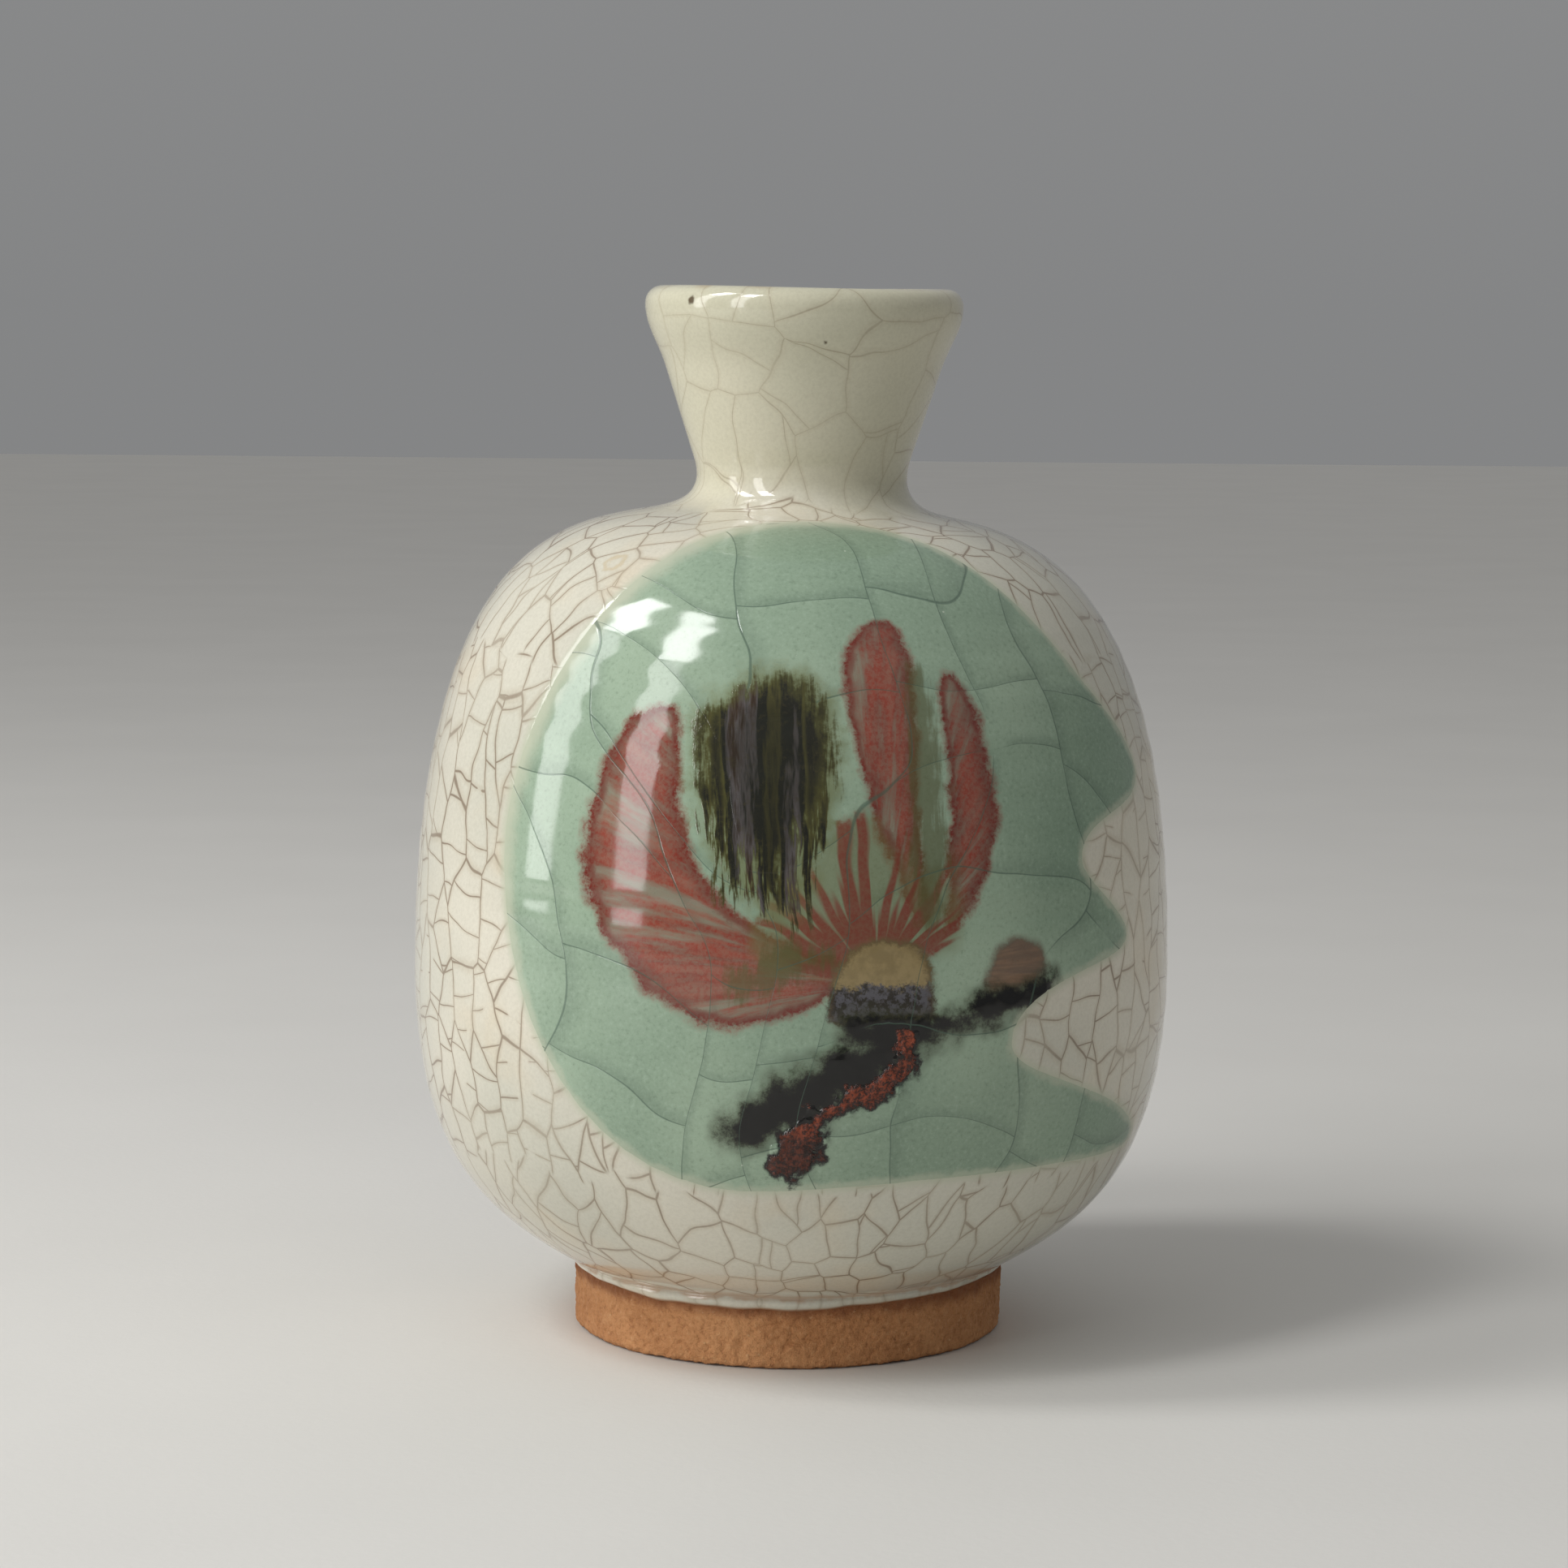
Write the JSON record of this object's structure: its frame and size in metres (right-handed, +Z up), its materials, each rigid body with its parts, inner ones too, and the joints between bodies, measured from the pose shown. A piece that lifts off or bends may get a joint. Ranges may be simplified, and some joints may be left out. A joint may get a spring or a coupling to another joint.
{
  "type": "bud vase",
  "caption": "Small round-bellied stoneware bud vase with a flared neck, rolled lip and bare foot ring, crackle glazed, with a celadon window and a brushed blossom.",
  "frame": {"origin": "middle of the foot, on the surface that the vase stands on", "axes": "+Z up along the belly's axis, the painted side faces -Y, +X to the right of it"},
  "size_m": [0.0946, 0.0948, 0.1301],
  "materials": {
    "bare_clay": "matte",
    "body_clay": "matte",
    "crackle_glaze": "gloss",
    "neck_glaze": "gloss",
    "lining_glaze": "gloss",
    "celadon": "gloss",
    "copper_red": "gloss",
    "iron_olive": "gloss",
    "ochre_slip": "gloss",
    "iron_black": "gloss",
    "iron_rust": "matte"
  },
  "bodies": {
    "root": {"foot_ring": "bare_clay", "belly": "body_clay", "neck": "body_clay", "belly_glaze": "crackle_glaze", "neck_glaze": "neck_glaze", "inner_glaze": "lining_glaze", "celadon_window": "celadon", "blossom_petals": "copper_red", "blossom_heart": "iron_olive", "calyx": "ochre_slip", "branch": "iron_black", "branch_rust": "iron_rust"}
  },
  "joints": []
}
